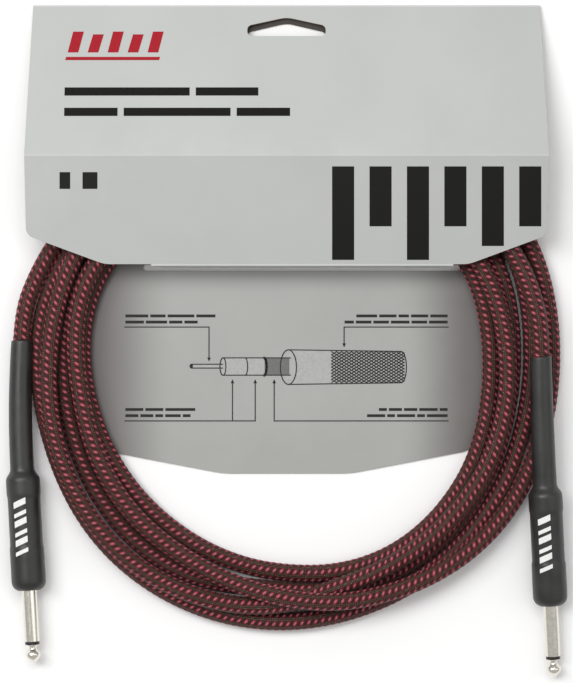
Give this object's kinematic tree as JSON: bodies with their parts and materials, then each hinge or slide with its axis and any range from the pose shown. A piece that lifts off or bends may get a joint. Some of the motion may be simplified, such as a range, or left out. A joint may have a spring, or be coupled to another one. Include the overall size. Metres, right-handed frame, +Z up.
{
  "type": "instrument cable",
  "caption": "Coiled tweed-braided instrument cable with straight two-pole jack plugs under heat-shrink boots, held in a folded grey card sleeve with a hang hole and a tuck tab.",
  "frame": {"origin": "on the surface that it lies on, under the middle of the sleeve and the plugs", "axes": "+X to the right and +Y towards the sleeve's ridge, seen from above; +Z up out of the coil's plane"},
  "size_m": [0.236, 0.2824, 0.0199],
  "materials": {
    "card": "smooth grey paperboard, printed in dark ink",
    "braid": "tight two-colour tweed braid, red dashes on dark olive and black yarn",
    "nickel": "bright nickel plate on brass",
    "ring_plastic": "black insulating plastic",
    "terminal_metal": "tinned brass",
    "barrel_metal": "plain turned barrel, hidden under the cover",
    "liner": "thin insulating tube",
    "heat_shrink": "semi-matt black heat-shrink tube",
    "copper": "bare copper strands",
    "solder": "solder",
    "dielectric": "natural polyethylene",
    "jacket": "black flexible PVC"
  },
  "bodies": {
    "root": {"back_panel": "card", "cable_coil": "braid", "left_lead": "braid", "right_lead": "braid", "left_tip": "nickel", "left_tip_insulator": "ring_plastic", "left_sleeve": "nickel", "left_sleeve_terminal": "terminal_metal", "left_rear_insulator": "ring_plastic", "left_tip_lug": "terminal_metal", "left_barrel": "barrel_metal", "left_barrel_liner": "liner", "left_heat_shrink": "heat_shrink", "left_shield_pigtail": "copper", "left_tip_solder": "solder", "left_sleeve_solder": "solder", "left_conductor": "copper", "left_inner_dielectric": "dielectric", "left_outer_dielectric": "dielectric", "left_spiral_shield": "copper", "left_pvc_jacket": "jacket", "left_tweed_braid": "braid", "right_tip": "nickel", "right_tip_insulator": "ring_plastic", "right_sleeve": "nickel", "right_sleeve_terminal": "terminal_metal", "right_rear_insulator": "ring_plastic", "right_tip_lug": "terminal_metal", "right_barrel": "barrel_metal", "right_barrel_liner": "liner", "right_heat_shrink": "heat_shrink", "right_shield_pigtail": "copper", "right_tip_solder": "solder", "right_sleeve_solder": "solder", "right_conductor": "copper", "right_inner_dielectric": "dielectric", "right_outer_dielectric": "dielectric", "right_spiral_shield": "copper", "right_pvc_jacket": "jacket", "right_tweed_braid": "braid"},
    "header": {"header_panel": "card"},
    "front_flap": {"front_panel": "card"},
    "tab": {"tuck_tab": "card"}
  },
  "joints": [
    {"name": "ridge_fold", "type": "hinge", "parent": "root", "child": "header", "pos_m": [0, 0.1412, 0.00075], "axis": [-1, 0, 0], "range_deg": [0, 120]},
    {"name": "crease_fold", "type": "hinge", "parent": "header", "child": "front_flap", "pos_m": [0, 0.0777, 0.0186], "axis": [-1, 0, 0], "range_deg": [0, 90]},
    {"name": "tab_fold", "type": "hinge", "parent": "front_flap", "child": "tab", "pos_m": [0, 0.03205, 0.01785], "axis": [-1, 0, 0], "range_deg": [0, 90]}
  ]
}
